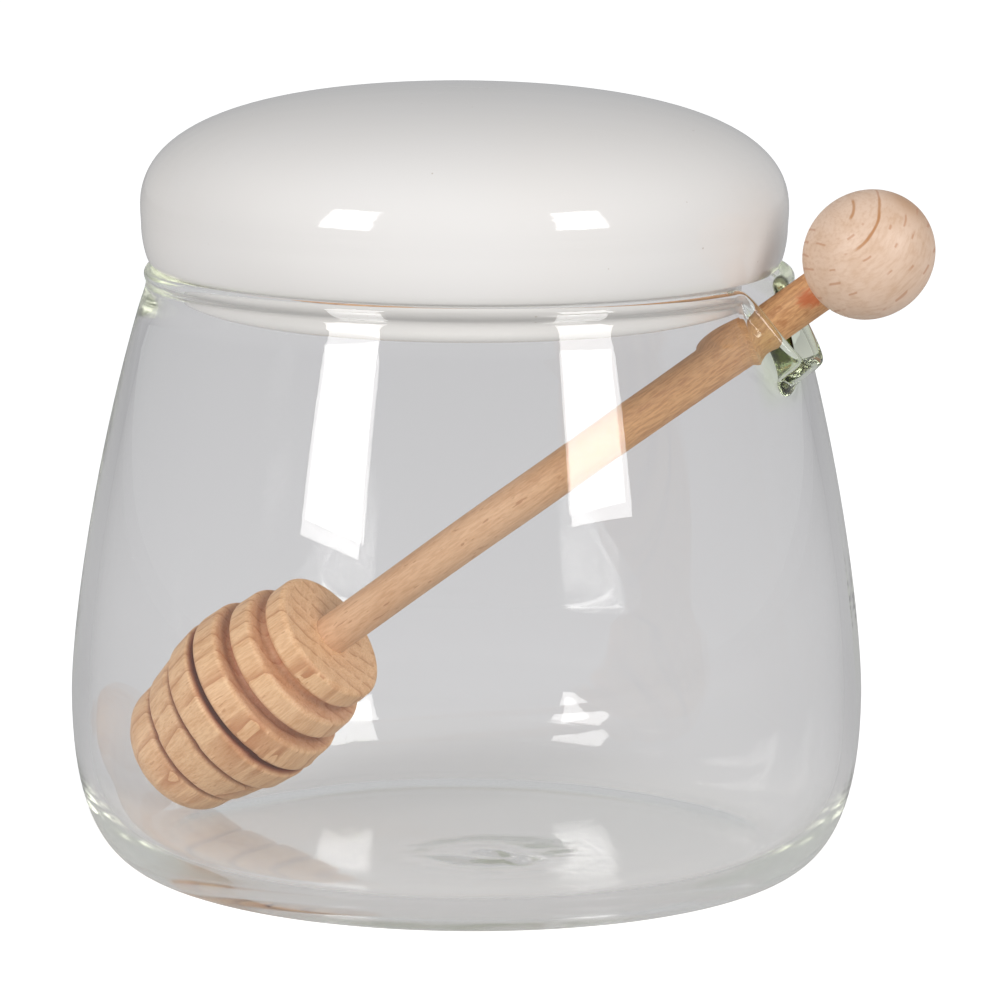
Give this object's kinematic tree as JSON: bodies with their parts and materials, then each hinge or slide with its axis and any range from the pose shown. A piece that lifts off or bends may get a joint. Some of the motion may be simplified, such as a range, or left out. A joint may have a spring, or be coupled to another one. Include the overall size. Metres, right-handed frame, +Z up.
{
  "type": "honey jar",
  "caption": "Rounded clear glass jar with a dipper notch pressed into its rim, a domed white ceramic lid with a collar, and a turned wooden honey dipper leaning in the notch.",
  "frame": {"origin": "centre of the jar's flat underside, on the surface it stands on", "axes": "+Z up along the jar's axis, +X through the dipper notch towards the dipper's ball"},
  "size_m": [0.1334, 0.12, 0.1183],
  "materials": {
    "glass": "clear blown glass, faint green at the edges",
    "glaze": "white gloss glaze",
    "head_wood": "turned beech, bare",
    "handle_wood": "beech dowel, bare",
    "ball_wood": "turned beech, bare"
  },
  "bodies": {
    "root": {"jar": "glass", "lid": "glaze", "dipper_head": "head_wood", "dipper_handle": "handle_wood", "dipper_ball": "ball_wood"}
  },
  "joints": []
}
